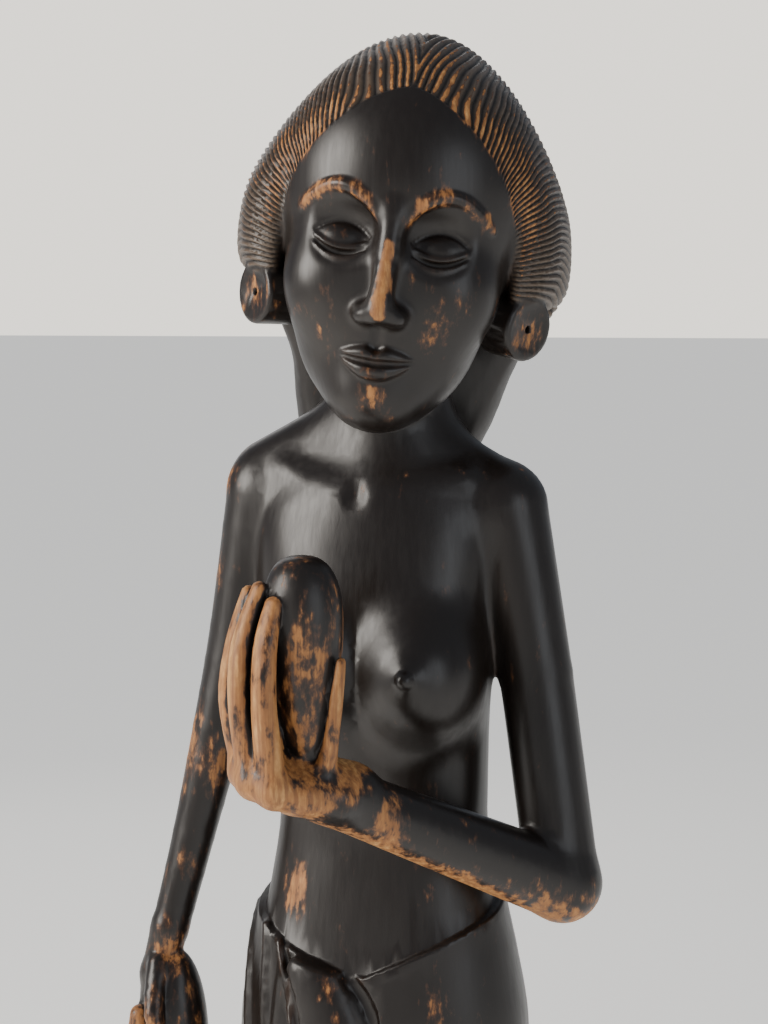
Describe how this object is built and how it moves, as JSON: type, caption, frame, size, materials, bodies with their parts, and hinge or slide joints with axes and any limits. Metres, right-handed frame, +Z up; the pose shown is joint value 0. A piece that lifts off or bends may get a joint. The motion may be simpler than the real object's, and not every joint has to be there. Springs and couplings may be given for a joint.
{
  "type": "wood carving",
  "caption": "Standing dark wooden figure of a woman in a long wrapped skirt, one hand raised with an egg-shaped fruit, carved in one piece with a low base.",
  "frame": {"origin": "centre of the base's flat underside", "axes": "+Z up along the figure, the figure faces -Y, +X is the figure's own left"},
  "size_m": [0.1028, 0.0992, 0.4819],
  "materials": {
    "stained_wood": "satin"
  },
  "bodies": {
    "root": {"figure": "stained_wood"}
  },
  "joints": []
}
